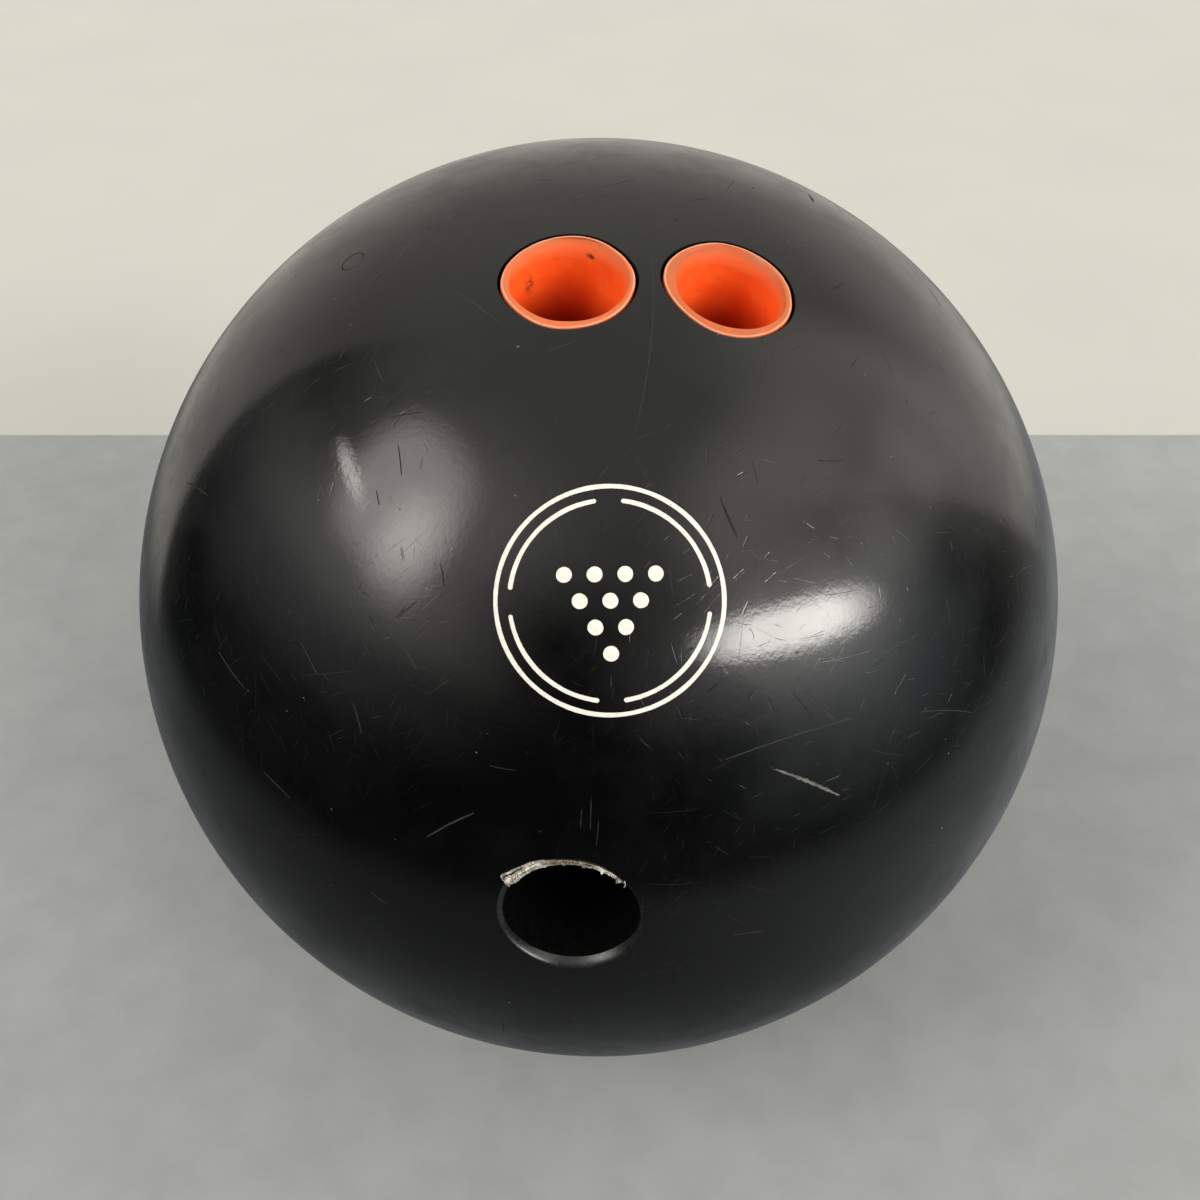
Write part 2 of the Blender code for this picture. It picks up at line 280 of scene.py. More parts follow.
def frame_at(point, axis, up):
    """Matrix of a frame at point, with Z along axis and Y as near to up as it can be."""
    y = (up - axis * up.dot(axis)).normalized()
    columns = Matrix((y.cross(axis), y, axis)).transposed()
    return Matrix.Translation(point) @ columns.to_4x4()


def drill_frame(angles, axis=None):
    """Frame on the ball's surface at a feature, with Z out along the drill and Y towards the emblem."""
    normal = direction(angles)
    return frame_at(normal * BALL_RADIUS, axis or normal, OUTWARD)


def finger_frames():
    axis = (direction(LEFT_FINGER) + direction(RIGHT_FINGER)).normalized()
    return drill_frame(LEFT_FINGER, axis), drill_frame(RIGHT_FINGER, axis)


def height_on_ball(place, x, y, radius=BALL_RADIUS):
    """Height in a drill's frame at which the line through x, y leaves a ball of this radius."""
    start = place @ Vector((x, y, 0.0))
    axis = place.to_3x3() @ Vector((0.0, 0.0, 1.0))
    along = start.dot(axis)
    return math.sqrt(along * along - start.dot(start) + radius * radius) - along


# ---- Mesh building ----


def full_turn(steps):
    return [math.tau * i / steps for i in range(steps)]


def wobble(turn, seed, waves=(2, 3, 5, 7)):
    """A smooth uneven value from -1 to 1 that closes on itself after a full turn."""
    rng = random.Random(seed)
    total = 0.0
    for wave in waves:
        total += math.sin(wave * turn + rng.uniform(0.0, math.tau)) / wave
    return total / sum(1.0 / wave for wave in waves)


def around(turn, values):
    """A smooth value at a turn, from values at equal steps of a full turn."""
    step = turn / math.tau * len(values)
    index = math.floor(step)
    blend = 0.5 - 0.5 * math.cos(math.pi * (step - index))
    return values[index % len(values)] * (1.0 - blend) + values[(index + 1) % len(values)] * blend


def outline(turn, shape, grow=0.0):
    """Point at a turn of an outline given by its X radius, Y radius and how far it stands out around."""
    wide, high, reach = shape
    pull = around(turn, reach)
    return Vector(((wide + grow) * pull * math.cos(turn), (high + grow) * pull * math.sin(turn), 0.0))


def polar(radius, turn, height=0.0):
    return Vector((radius * math.cos(turn), radius * math.sin(turn), height))


def circle(radius, height, steps):
    return [polar(radius, turn, height) for turn in full_turn(steps)]


def loft_into(bm, loops, closed=False, slot=0, caps=(0, -1)):
    """Adds a skin through a list of equal loops: back to the first one if closed, and capped if not."""
    rings = [[bm.verts.new(point) for point in loop] for loop in loops]
    pairs = list(zip(rings, rings[1:]))
    faces = []
    if closed:
        pairs.append((rings[-1], rings[0]))
    else:
        faces += [bm.faces.new(rings[end]) for end in caps]
    for low, high in pairs:
        for i in range(len(low)):
            j = (i + 1) % len(low)
            faces.append(bm.faces.new((low[i], low[j], high[j], high[i])))
    for face in faces:
        face.material_index = slot
        face.smooth = True
    return faces


def loft(loops, closed=False, slot=0):
    bm = bmesh.new()
    loft_into(bm, loops, closed, slot)
    return faced(bm)


def faced(bm):
    """The same mesh with its faces turned outward."""
    bmesh.ops.recalc_face_normals(bm, faces=bm.faces)
    return bm


def section_loops(sections):
    """Loops from sections of (radius, height) points, each at its own turn about Z."""
    return [[polar(radius, turn, height) for radius, height in points] for turn, points in sections]


def icosphere(radius, subdivisions):
    bm = bmesh.new()
    bmesh.ops.create_icosphere(bm, subdivisions=subdivisions, radius=radius)
    return bm


def add_object(name, bm, place, materials):
    """Puts a bmesh in the scene as an object, shaded smooth, with its place as its transform."""
    mesh = bpy.data.meshes.new(name)
    bm.to_mesh(mesh)
    bm.free()
    mesh.shade_smooth()
    mesh.set_sharp_from_angle(angle=math.radians(PIECE_SHARP_ANGLE))
    for material in materials:
        mesh.materials.append(material)
    item = bpy.data.objects.new(name, mesh)
    item.matrix_world = place
    bpy.context.scene.collection.objects.link(item)
    return item


def add_piece(name, bm, place, materials, node):
    """A visible piece that rides on the ball and stands for one CAD node."""
    item = add_object(name, bm, place, materials)
    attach(item, BODY)
    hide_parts(node)
    return item


# ---- The cover ----


def add_cover(materials):
    """The hollow cover with every hole, groove and scratch cut into it."""
    slots = [materials[name] for name in COVER_SLOTS]
    cover = add_object("ball_cover", icosphere(BALL_RADIUS, COVER_SUBDIVISIONS), Matrix(), slots)
    left, right = finger_frames()
    cutters = [
        ("known_marks", blades(known_marks()), Matrix()),
        ("random_marks", blades(random_marks()), Matrix()),
        ("cavity", icosphere(BALL_RADIUS - COVER_THICKNESS, CAVITY_SUBDIVISIONS), Matrix()),
        ("left_drill", finger_drill(left, LEFT_CUT), left),
        ("right_drill", finger_drill(right, RIGHT_CUT), right),
        ("thumb_drill", thumb_drill(drill_frame(THUMB)), drill_frame(THUMB)),
        ("pin_drill", pin_drill(), pin_frame()),
        ("emblem_grooves", emblem_grooves(), Matrix()),
    ]
    for name, bm, place in cutters:
        cut_away(cover, name, bm, place, slots)
    round_off(cover)
    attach(cover, BODY)
    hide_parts("cover_shell")


def cut_away(item, name, bm, place, slots):
    """Takes a cutter out of the item for good. The cut faces keep the cutter's material slots."""
    cutter = add_object(name, bm, place, slots)
    boolean = item.modifiers.new(name, 'BOOLEAN')
    boolean.operation = 'DIFFERENCE'
    boolean.solver = 'EXACT'
    boolean.object = cutter
    graph = bpy.context.evaluated_depsgraph_get()
    result = bpy.data.meshes.new_from_object(item.evaluated_get(graph))
    old = item.data
    if len(result.polygons) < KEPT_SHARE * len(old.polygons):
        raise RuntimeError(f"cutting {name} has lost most of {item.name}")
    item.modifiers.clear()
    item.data = result
    bpy.data.meshes.remove(old)
    bpy.data.objects.remove(cutter)


def round_off(item):
    """Gives the ball's outer surface the true sphere's normals, and leaves the cuts their own."""
    mesh = item.data
    mesh.set_sharp_from_angle(angle=math.radians(SHARP_ANGLE))
    normals = []
    on_ball = [abs(v.co.length - BALL_RADIUS) < SURFACE_TOLERANCE for v in mesh.vertices]
    for polygon in mesh.polygons:
        outside = polygon.material_index == 0 and all(on_ball[i] for i in polygon.vertices)
        for i in polygon.vertices:
            normals.append(mesh.vertices[i].co.normalized() if outside else Vector())
    mesh.normals_split_custom_set(normals)
    mesh.name = item.name


def drill_foot(shape, depth):
    """The loops at the foot of a hole's cutter: its blunt tip, and the bottom of the wall."""
    tip = depth + DRILL_TIP_SLOPE * (shape[0] - DRILL_TIP_RADIUS)
    bottom = Vector((0.0, 0.0, -depth))
    wall = [outline(turn, shape) + bottom for turn in full_turn(HOLE_STEPS)]
    return [circle(DRILL_TIP_RADIUS, -tip, HOLE_STEPS), wall]


def finger_drill(place, cut):
    """A finger hole with a softly rounded mouth."""
    shape = (*FINGER_HOLE_RADII, cut)
    return loft(drill_foot(shape, FINGER_DEPTH) + rounded_mouth(place, shape, LIP_ROUNDING), slot=BORE)


def rounded_mouth(place, shape, rounding):
    """Loops that flare out of a bore until they run along the ball's surface, then leave it."""
    loops = []
    for step in range(LIP_STEPS + 1):
        bend = math.radians(LIP_BEND) * step / LIP_STEPS
        grow = rounding * (1.0 - math.cos(bend))
        sink = rounding * (1.0 - math.sin(bend))
        loops.append(surface_loop(place, shape, grow, -sink))
    for lift in (0.3 * MM, CUTTER_REACH):
        loops.append(surface_loop(place, shape, rounding + 0.1 * MM, lift))
    return loops


def surface_loop(place, shape, grow, lift):
    loop = []
    for turn in full_turn(HOLE_STEPS):
        point = outline(turn, shape, grow)
        point.z = height_on_ball(place, point.x, point.y) + lift
        loop.append(point)
    return loop


def thumb_drill(place):
    """The thumb hole with its hand-cut bevel, which is rounded and uneven."""
    turns = full_turn(HOLE_STEPS)
    bevel = []
    for step in range(BEVEL_STEPS + 1):
        bevel.append([bevel_point(place, turn, step / BEVEL_STEPS) for turn in turns])
    top = []
    for point in bevel[-1]:
        above = point * THUMB_CUTTER_FLARE
        above.z = height_on_ball(place, above.x, above.y) + CUTTER_REACH
        top.append(above)
    bm = bmesh.new()
    loft_into(bm, drill_foot(THUMB_HOLE, THUMB_DEPTH) + bevel[:1], slot=BORE, caps=(0,))
    loft_into(bm, bevel + [top], slot=BEVEL, caps=(-1,))
    bmesh.ops.remove_doubles(bm, verts=bm.verts, dist=1e-7)
    return faced(bm)


def bevel_size(turn):
    """The bevel's width and depth at a turn, in metres."""
    uneven = 1.0 + BEVEL_UNEVENNESS * wobble(turn, 5)
    return around(turn, BEVEL_WIDTH) * MM * uneven, around(turn, BEVEL_DEPTH) * MM


def bevel_point(place, turn, share):
    """Point of the thumb bevel at a turn: on the bore's wall at share 0, on the ball from share 1 on."""
    wide, deep = bevel_size(turn)
    point = outline(turn, THUMB_HOLE, wide * share)
    point.z = height_on_ball(place, point.x, point.y) - deep * max(1.0 - share, 0.0) ** BEVEL_CURVE
    return point


def bevel_normal(turn, share):
    """Direction out of the bevel's surface, into the hole and up."""
    wide, deep = bevel_size(turn)
    slope = deep * BEVEL_CURVE * max(1.0 - share, 0.0) ** (BEVEL_CURVE - 1.0)
    return Vector((-slope * math.cos(turn), -slope * math.sin(turn), wide)).normalized()


def pin_frame():
    return frame_at(Vector(), direction(LOCATOR_PIN), OUTWARD)


def pin_drill():
    heights = (BALL_RADIUS - 2.0 * COVER_THICKNESS, BALL_RADIUS + CUTTER_REACH)
    return loft([circle(PIN_RADIUS + PIN_GAP, height, PIN_STEPS) for height in heights], slot=BORE)


# ---- Wear cut into the cover ----


def known_marks():
    """The marks that have a place of their own: ends, width, depth, bow and slot, in metres."""
    marks = []
    for start, end, width, depth, bow, slot in KNOWN_MARKS:
        marks.append(((direction(start), direction(end)), width * MM, depth * MM, bow * MM, slot))
    return marks


def random_marks():
    """Short scratches and small pits all over the ball, clear of its holes, emblem and other marks."""
    rng = random.Random(MARK_SEEDS[0])
    taken = [mark_points(ends) for ends, *_ in known_marks()]
    marks = []
    for count, lengths, widths, depth, slots in RANDOM_MARKS:
        made = 0
        while made < count:
            middle = Vector([rng.gauss(0.0, 1.0) for _ in range(3)]).normalized()
            along = middle.orthogonal()
            along.rotate(Matrix.Rotation(rng.uniform(0.0, math.tau), 3, middle))
            half = 0.5 * rng.uniform(*lengths) * MM / BALL_RADIUS
            ends = (middle - along * half).normalized(), (middle + along * half).normalized()
            points = mark_points(ends)
            if not is_clear(points, taken):
                continue
            taken.append(points)
            slot = rng.choice(slots)
            width = rng.uniform(*widths) * MM
            bow = rng.uniform(-MARK_BOW, MARK_BOW) * half * BALL_RADIUS
            marks.append((ends, width, depth * MM, bow, slot))
            made += 1
    return marks


def mark_points(ends):
    """Points on the ball along a mark, evenly spaced."""
    count = 2 + int((ends[1] - ends[0]).length * BALL_RADIUS / MARK_POINT_SPACING)
    return [ends[0].lerp(ends[1], i / (count - 1)).normalized() * BALL_RADIUS for i in range(count)]


def is_clear(points, taken):
    """True if a mark stays off the holes and the emblem, and doesn't come near another mark."""
    for angles, reach in KEEP_CLEAR:
        centre = direction(angles) * BALL_RADIUS
        if any((p - centre).length < reach for p in points):
            return False
    for others in taken:
        if (others[0] - points[0]).length > MARK_NEIGHBOURHOOD:
            continue
        if any((p - q).length < MARK_GAP for p in points for q in others):
            return False
    return True


def blades(marks):
    """Marks as one set of thin blades to cut with."""
    rng = random.Random(MARK_SEEDS[1])
    bm = bmesh.new()
    for mark in marks:
        add_blade(bm, *mark, rng)
    return faced(bm)


def add_blade(bm, ends, width, depth, bow, slot, rng):
    """A thin blade along a scratch. It is deepest in the middle and leaves the surface at both ends."""
    start, end = ends
    length = (end - start).length * BALL_RADIUS
    steps = max(6, round(length / BLADE_STEP))
    side = start.cross(end).normalized()
    slope = 0.5 * width / depth
    ragged = WIDE_RAGGED if width > WIDE_MARK else NARROW_RAGGED
    loops = []
    for i in range(steps + 1):
        share = i / steps
        arc = math.sin(math.pi * share)
        jitter = 1.0 + ragged * rng.uniform(-1.0, 1.0)
        sink = depth * arc ** 0.6 * jitter if 0 < i < steps else -BLADE_END
        radial = (start.lerp(end, share).normalized() * BALL_RADIUS + side * bow * arc).normalized()
        half = slope * (BLADE_TOP + sink)
        lean = ragged * half * rng.uniform(-0.5, 0.5)
        shoulder = 0.45 * half
        middle = ((-shoulder + lean, -0.75 * sink), (lean, -sink), (shoulder + lean, -0.6 * sink * jitter))
        if sink < 0.0:
            middle = ((-shoulder, 0.5 * BLADE_TOP), (0.0, -sink), (shoulder, 0.5 * BLADE_TOP))
        section = ((-half, BLADE_TOP), *middle, (half, BLADE_TOP))
        loops.append([radial * (BALL_RADIUS + z) + side * x for x, z in section])
    loft_into(bm, loops, slot=slot)


# ---- Finger inserts ----


def add_inserts(materials):
    left, right = finger_frames()
    builds = (
        ("insert_left", left, "finger_insert_left", LEFT_CUT, LEFT_BORE, LEFT_FLARE, 21),
        ("insert_right", right, "finger_insert_right", RIGHT_CUT, RIGHT_BORE, RIGHT_FLARE, 22),
    )
    for name, place, node, cut, bore, flare, seed in builds:
        bm, dust = insert_body(place, (*INSERT_RADII, cut), bore, flare, seed)
        item = add_piece(name, bm, place, [materials[name]], node)
        # The dust attribute holds dust and wear, and over 1 it marks the rim's top, which the material
        # paints lighter as a highlight.
        values = item.data.attributes.new("dust", 'FLOAT', 'POINT')
        values.data.foreach_set("value", dust)


def insert_profile(flare):
    """Points of the insert's section: how far in from the outer wall, or out from the bore, its height from
    the lip, in millimetres, and how dusty and worn it is there. Values over 1, on the rim's rounded top,
    also mark where a highlight is painted."""
    outer, bore = "outer", "bore"
    band = 1.2 + 1.6 * flare
    return (
        (outer, 0.00, -6.0, 0.0),
        (outer, 0.00, -0.50, 0.2),
        (outer, 0.02, -0.18, 0.6),
        (outer, 0.07, -0.05, 1.4),
        (outer, 0.16, 0.00, 1.5),
        (outer, 0.34, -0.01, 1.5),
        (outer, 0.50, -0.04, 1.0),
        (bore, flare + 0.14, -0.08, 1.0),
        (bore, flare + 0.03, -0.17, 0.95),
        (bore, 0.80 * flare, -0.12 - 0.16 * band, 0.85),
        (bore, 0.52 * flare, -0.36 * band, 0.62),
        (bore, 0.24 * flare, -0.62 * band, 0.48),
        (bore, 0.07 * flare, -0.85 * band, 0.40),
        (bore, 0.00, -1.08 * band, 0.30),
        (bore, 0.00, -1.30 * band, 0.0),
        (bore, 0.00, -8.0, 0.0),
        (bore, -0.08, -16.0, 0.0),
    )


def insert_body(place, outside, bore, flares, seed):
    """A soft tube with a worn, flared lip that follows the ball's surface, and the dust on it, which over 1
    marks the rim's top for a painted highlight.
    """
    loops, dust = [], []
    for turn in full_turn(HOLE_STEPS):
        uneven = wobble(turn, seed, (3, 5, 8, 13))
        fray = min(LIP_FRAY * wobble(turn, seed + 1, (17, 29, 41)), 0.0)
        loop = []
        for wall, offset, height, worn in insert_profile(around(turn, flares)):
            if wall == "outer":
                point = outline(turn, outside, (fray * worn - offset) * MM)
            else:
                point = outline(turn, bore, (offset + BORE_UNEVENNESS * uneven * worn) * MM)
            lip = height_on_ball(place, point.x, point.y, BALL_RADIUS - LIP_SINK)
            point.z = lip + (height + LIP_UNEVENNESS * uneven * worn) * MM
            loop.append(point)
            dust.append(worn)
        for shape in (bore, outside):
            loop.append(outline(turn, shape) + Vector((0.0, 0.0, -INSERT_LENGTH)))
            dust.append(0.0)
        loops.append(loop)
    return loft(loops, closed=True), dust


# ---- Thumb tape ----


def add_tapes(materials):
    place = drill_frame(THUMB)
    base = tape_strip(place, TAPE_BASE_DEPTH, *TAPE_BASE)
    add_piece("tape_base", base, place, [materials["tape"]], "thumb_tape_base")
    top = tape_strip(place, TAPE_TOP_DEPTH, *TAPE_TOP)
    for number, (thickness, points) in enumerate(LOOSE_THREADS):
        add_thread(top, place, thickness * MM, points, number)
    add_piece("tape_top", top, place, [materials["tape"]], "thumb_tape_top")


def tape_strip(place, depth, gap, span, cover, seed):
    """A strip of tape on the bore's wall. Its torn, frayed edge lies out over the bevel at the mouth."""
    loops = []
    for turn, edge, thick in torn_edge(span, cover, seed):
        outer, inner = [], []
        for row in range(TAPE_ROWS + 1):
            loose = 1.0 - row / TAPE_ROWS
            point = bevel_point(place, turn, edge * loose)
            out = bevel_normal(turn, edge * loose)
            full = TAPE_THICKNESS + (thick - TAPE_THICKNESS) * loose ** 0.5
            outer.append(point + out * gap)
            inner.append(point + out * (gap + full))
        for height in (outer[-1].z - 4.0 * MM, -depth):
            for side, reach in ((outer, -gap), (inner, -gap - TAPE_THICKNESS)):
                point = outline(turn, THUMB_HOLE, reach)
                point.z = height
                side.append(point)
        loops.append(outer[::-1] + inner)
    return loft(loops)


def torn_edge(span, cover, seed):
    """Turn, share of the bevel that is covered, and thickness at each section of a torn edge."""
    rng = random.Random(seed)
    sections = []
    drift, fuzz = 0.0, 0.0
    for i in range(TAPE_STEPS + 1):
        share = i / TAPE_STEPS
        turn = math.radians(span[0] + (span[1] - span[0]) * share)
        drift = 0.80 * drift + rng.uniform(-0.2, 0.2)
        fuzz = 0.45 * fuzz + rng.uniform(-0.5, 0.5)
        clump = math.exp(-((share - CLUMP_PLACE) / CLUMP_WIDTH) ** 2)
        tuft = max(0.0, math.sin(38.0 * share + seed)) ** 6 * (1.0 - share) ** 0.5
        spread = 1.0 - 0.5 * math.cos(0.5 * math.pi * share) ** 2
        edge = cover * spread + 0.24 * drift + 0.14 * fuzz + 0.35 * clump
        thick = (0.22 + 0.14 * drift + 0.14 * fuzz + 0.60 * clump + 0.50 * tuft) * MM
        sections.append((turn, edge, max(thick, 0.1 * MM)))
    return sections


def add_thread(bm, place, thickness, points, number):
    """A frayed thread through a few points, thin at both ends."""
    rng = random.Random(90 + number)
    loops = []
    count = THREAD_STEPS * (len(points) - 1)
    for i in range(count + 1):
        index = min(i // THREAD_STEPS, len(points) - 2)
        share = i / THREAD_STEPS - index
        blend = share * share * (3.0 - 2.0 * share)
        turn, radius, lift = (a + (b - a) * blend for a, b in zip(points[index], points[index + 1]))
        turn = math.radians(turn)
        outward = polar(1.0, turn)
        centre = outward * radius * MM
        centre.z = height_on_ball(place, centre.x, centre.y) + lift * MM
        ends = min(1.0, 0.25 + 0.5 * min(i, count - i))
        thick = thickness * ends * rng.uniform(0.65, 1.25)
        ring = circle(thick, 0.0, THREAD_SIDES)
        loops.append([centre + outward * p.x + Vector((0.0, 0.0, p.y)) for p in ring])
    faces = loft_into(bm, loops)
    bmesh.ops.recalc_face_normals(bm, faces=faces)


# ---- Emblem and pin ----


def line_sections(radius, start, sweep, steps, grow, top, floor):
    """Sections of a painted line around the emblem, or of its groove. Its edges are a little uneven."""
    sections = []
    count = steps if sweep == 360.0 else steps + 1
    for i in range(count):
        turn = math.radians(start + sweep * i / steps)
        edges = [wobble(turn, int(radius * 1e5) + side, (7, 19, 43, 71)) for side in (0, 1)]
        low = radius - 0.5 * LINE_WIDTH - grow + edges[0] * PAINT_UNEVENNESS
        high = radius + 0.5 * LINE_WIDTH + grow + edges[1] * PAINT_UNEVENNESS
        if sweep != 360.0:
            end = min(i, count - 1 - i) / steps * math.radians(sweep) * radius
            rounding = min(1.0, end / (0.5 * LINE_WIDTH))
            pinch = 0.5 * LINE_WIDTH * (1.0 - math.sqrt(1.0 - (1.0 - rounding) ** 2)) * 0.9
            low, high = low + pinch, high - pinch
        points = []
        for r, below in ((low, floor), (high, floor), (high, top), (0.5 * (low + high), top), (low, top)):
            crown = PAINT_CROWN if below == top and r == 0.5 * (low + high) else 0.0
            points.append((r, math.sqrt(BALL_RADIUS ** 2 - r * r) - below + crown))
        sections.append((turn, points))
    return sections


def emblem_lines():
    """Name, radius, start, sweep and steps of each painted line."""
    lines = [("emblem_ring", RING_RADIUS, 0.0, 360.0, RING_STEPS)]
    quarter = 360.0 / ARC_COUNT
    for i in range(ARC_COUNT):
        start = i * quarter + 0.5 * ARC_OPENING
        lines.append((f"emblem_arc_{i + 1}", ARC_RADIUS, start, quarter - ARC_OPENING, ARC_STEPS))
    return lines


def emblem_dots():
    """Name and place of the ten dots, in rows of one to four, like the pins."""
    row_height = DOT_SPACING * math.sqrt(3.0) / 2.0
    dots = []
    for row in range(DOT_ROWS):
        for i in range(row + 1):
            x = (i - 0.5 * row) * DOT_SPACING
            y = (row - 2.0) * row_height
            dots.append((f"emblem_dot_{len(dots) + 1}", dot_frame(x, y)))
    return dots


def dot_frame(x, y):
    depth = math.sqrt(BALL_RADIUS ** 2 - x * x - y * y)
    point = RIGHT * x + UP * y + OUTWARD * depth
    return frame_at(point, point.normalized(), UP)


def dot_loops(grow, top, floor, seed):
    """A dot's loops, slightly domed on top, with an edge that isn't quite round."""
    loops = []
    for share, height in ((1.0, -floor), (1.0, -top), (0.6, -top + 0.012 * MM), (0.1, -top + 0.018 * MM)):
        loop = []
        for turn in full_turn(DOT_STEPS):
            radius = DOT_RADIUS + grow + PAINT_UNEVENNESS * wobble(turn, seed)
            loop.append(polar(share * radius, turn, height))
        loops.append(loop)
    return loops


def emblem_frame():
    return frame_at(Vector(), OUTWARD, UP)


def emblem_grooves():
    """The grooves that hold the paint, as one set of cutters."""
    bm = bmesh.new()
    floor = PAINT_DEPTH + PAINT_GAP
    for _, radius, start, sweep, steps in emblem_lines():
        closed = sweep == 360.0
        widen = 0.0 if closed else math.degrees(2.0 * PAINT_GAP / radius)
        sections = line_sections(radius, start - widen, sweep + 2.0 * widen, steps, PAINT_GAP,
                                 -CUTTER_REACH, floor)
        loft_into(bm, placed(section_loops(sections), emblem_frame()), closed, slot=BORE)
    for i, (_, place) in enumerate(emblem_dots()):
        loops = dot_loops(PAINT_GAP, -CUTTER_REACH, floor, 60 + i)[:2]
        loft_into(bm, placed(loops, place), slot=BORE)
    return faced(bm)


def placed(loops, place):
    return [[place @ point for point in loop] for loop in loops]


def add_emblem(materials):
    paint = [materials["paint"]]
    for name, radius, start, sweep, steps in emblem_lines():
        sections = line_sections(radius, start, sweep, steps, 0.0, PAINT_RECESS, PAINT_DEPTH)
        body = loft(section_loops(sections), sweep == 360.0)
        add_piece(painted_name(name), body, emblem_frame(), paint, name)
    for i, (name, place) in enumerate(emblem_dots()):
        body = loft(dot_loops(0.0, PAINT_RECESS, PAINT_DEPTH, 60 + i))
        add_piece(painted_name(name), body, place, paint, name)


def painted_name(node):
    return node.replace("emblem_", "painted_")


def add_pin(materials):
    """The locator pin, whose end is polished flush with the ball."""
    foot = BALL_RADIUS - COVER_THICKNESS - 1.0 * MM
    loops = [circle(PIN_RADIUS, foot, PIN_STEPS)]
    for share in (1.0, 0.985, 0.7, 0.35, 0.02):
        radius = PIN_RADIUS * share
        drop = PIN_EDGE_DROP if share == 1.0 else PIN_DROP
        loops.append(circle(radius, math.sqrt(BALL_RADIUS ** 2 - radius * radius) - drop, PIN_STEPS))
    add_piece("pin_end", loft(loops), pin_frame(), [materials["pin"]], "locator_pin")


def finish_inner_nodes(materials):
    """The core and the weight block keep their CAD meshes and take a cast filler's look."""
    for name, node, slot in (("core", "inner_core", "core"), ("block", "weight_block", "weight_block")):
        item = bpy.data.objects[node]
        item.data.materials.clear()
        item.data.materials.append(materials[name])


# ---- Materials ----


class Graph:
    """Adds shader nodes to one tree. An input is a plain value, or another node's output to link."""

    def __init__(self, name):
        self.material = bpy.data.materials.new(name)
        self.material.use_nodes = True
        self.tree = self.material.node_tree
        self.shader = self.tree.nodes["Principled BSDF"]

    def add(self, kind, inputs=(), **settings):
        node = self.tree.nodes.new("ShaderNode" + kind)
        for key, value in settings.items():
            setattr(node, key, value)
        for key, value in dict(inputs).items():
            self.give(node.inputs[key], value)
        return node

    def give(self, socket, value):
        if isinstance(value, bpy.types.NodeSocket):
            self.tree.links.new(value, socket)
        else:
            socket.default_value = value

    def set(self, **values):
        """Sets the shader's inputs, with underscores for the spaces in their names."""
        for key, value in values.items():
            self.give(self.shader.inputs[key.replace("_", " ")], value)

    def point(self):
        return self.add("TexCoord").outputs["Object"]

    def turned(self, vector, along, stretch):
        """Coordinates squeezed along one direction, so that a texture draws out into streaks there."""
        a = Vector(along).normalized()
        b = a.orthogonal().normalized()
        turn = Matrix((a, b, a.cross(b))).transposed().to_euler()
        inputs = {"Vector": vector, "Rotation": turn, "Scale": (stretch, 1.0, 1.0)}
        return self.add("Mapping", inputs, vector_type='TEXTURE').outputs["Vector"]

    def noise(self, vector, scale, detail=2.0, roughness=0.5, distortion=0.0):
        inputs = {"Vector": vector, "Scale": scale, "Detail": detail, "Roughness": roughness,
                  "Distortion": distortion}
        return self.add("TexNoise", inputs).outputs["Fac"]

    def math(self, operation, *values):
        node = self.add("Math", operation=operation)
        for socket, value in zip(node.inputs, values):
            self.give(socket, value)
        return node.outputs[0]

    def times(self, *values):
        return self.math('MULTIPLY', *values)

    def plus(self, *values):
        return self.math('ADD', *values)

    def fade(self, value, low, high, out_low=0.0, out_high=1.0):
        """Maps low to high smoothly to the two outputs, and holds them outside."""
        inputs = {"Value": value, "From Min": low, "From Max": high, "To Min": out_low, "To Max": out_high}
        return self.add("MapRange", inputs, interpolation_type='SMOOTHSTEP').outputs["Result"]

    def mix(self, factor, first, second):
        node = self.add("Mix", data_type='RGBA')
        self.give(node.inputs[0], factor)
        for socket, color in zip(node.inputs[6:8], (first, second)):
            self.give(socket, (*color, 1.0) if isinstance(color, tuple) else color)
        return node.outputs[2]

    def bump(self, height, distance, strength=1.0, normal=None):
        inputs = {"Height": height, "Distance": distance, "Strength": strength}
        if normal is not None:
            inputs["Normal"] = normal
        return self.add("Bump", inputs).outputs["Normal"]

    def scratches(self, vector, scale, length, width, share, seed):
        """Straight hairlines on the ball, each through one cell of a Voronoi texture at its own angle."""
        shifted = self.vector_math('ADD', vector, (seed, 0.7 * seed, -0.4 * seed))
        cells = self.add("TexVoronoi", {"Vector": shifted, "Scale": scale})
        random_parts = self.add("SeparateColor", {"Color": cells.outputs["Color"]}).outputs
        offset = self.vector_math('SUBTRACT', shifted, cells.outputs["Position"])
        outward = self.vector_math('NORMALIZE', vector)
        spin = self.vector_math('SUBTRACT', cells.outputs["Color"], (0.5, 0.5, 0.5))
        along = self.vector_math('NORMALIZE', self.vector_math('CROSS_PRODUCT', outward, spin))
        across = self.vector_math('CROSS_PRODUCT', outward, along)
        away = self.math('ABSOLUTE', self.vector_math('DOT_PRODUCT', offset, across))
        reach = self.math('ABSOLUTE', self.vector_math('DOT_PRODUCT', offset, along))
        line = self.fade(away, 0.3 * width, width, 1.0, 0.0)
        line = self.times(line, self.fade(reach, 0.1 * length, 0.5 * length, 1.0, 0.0))
        chosen = self.math('LESS_THAN', random_parts[0], share)
        strength = self.times(chosen, random_parts[1])
        return self.times(line, strength)

    def vector_math(self, operation, *values):
        node = self.add("VectorMath", operation=operation)
        for socket, value in zip(node.inputs, values):
            self.give(socket, value)
        return node.outputs["Value" if operation in ('DOT_PRODUCT', 'LENGTH') else "Vector"]

    def specks(self, vector, scale, size, share):
        """Small round specks in a share of the cells of a Voronoi texture."""
        cells = self.add("TexVoronoi", {"Vector": vector, "Scale": scale})
        dot = self.fade(cells.outputs["Distance"], 0.5 * size, size, 1.0, 0.0)
        split = self.add("SeparateColor", {"Color": cells.outputs["Color"]})
        chosen = self.math('LESS_THAN', split.outputs[0], share)
        return self.times(dot, chosen)


